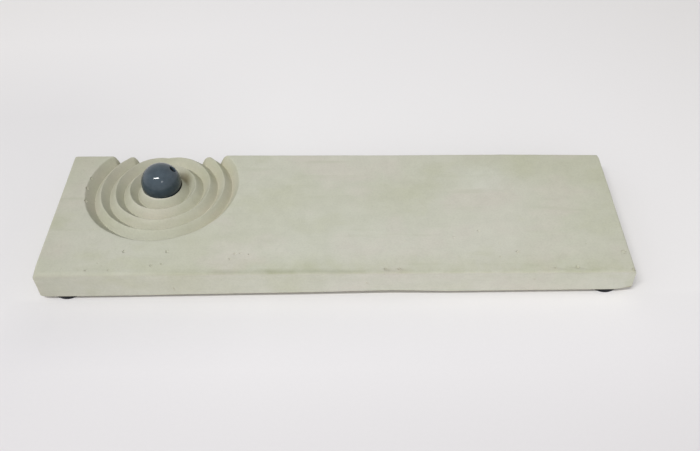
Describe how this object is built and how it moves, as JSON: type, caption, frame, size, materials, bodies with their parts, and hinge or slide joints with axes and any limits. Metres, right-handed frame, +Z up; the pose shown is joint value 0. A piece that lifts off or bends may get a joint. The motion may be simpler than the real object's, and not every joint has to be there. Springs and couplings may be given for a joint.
{
  "type": "incense stick holder",
  "caption": "Flat cast-concrete incense stick holder: ripple grooves ring a loose drilled bead that tilts in its cup to set the stick's lean, on stick-on rubber feet.",
  "frame": {"origin": "on the table, under the middle of the slab", "axes": "+X along the slab away from its ripple end, +Y to the back edge that cuts the ripples, +Z up"},
  "size_m": [0.25, 0.076, 0.0264],
  "materials": {
    "cast_concrete": "matt cast concrete, pale grey-green, with pinholes",
    "bead_glaze": "glossy dark blue-grey",
    "foot_rubber": "satin black",
    "foot_adhesive": "milky film"
  },
  "bodies": {
    "base": {"slab": "cast_concrete", "foot_front_left": "foot_rubber", "foot_front_right": "foot_rubber", "foot_rear_left": "foot_rubber", "foot_rear_right": "foot_rubber", "adhesive_front_left": "foot_adhesive", "adhesive_front_right": "foot_adhesive", "adhesive_rear_left": "foot_adhesive", "adhesive_rear_right": "foot_adhesive"},
    "bead": {"bead": "bead_glaze"}
  },
  "joints": [
    {"name": "bead_tilt", "type": "hinge", "parent": "base", "child": "bead", "pos_m": [-0.07977, 0.0168, 0.01739], "axis": [-0.309, 0.9511, 0], "range_deg": [-116.9, 23.1]}
  ]
}
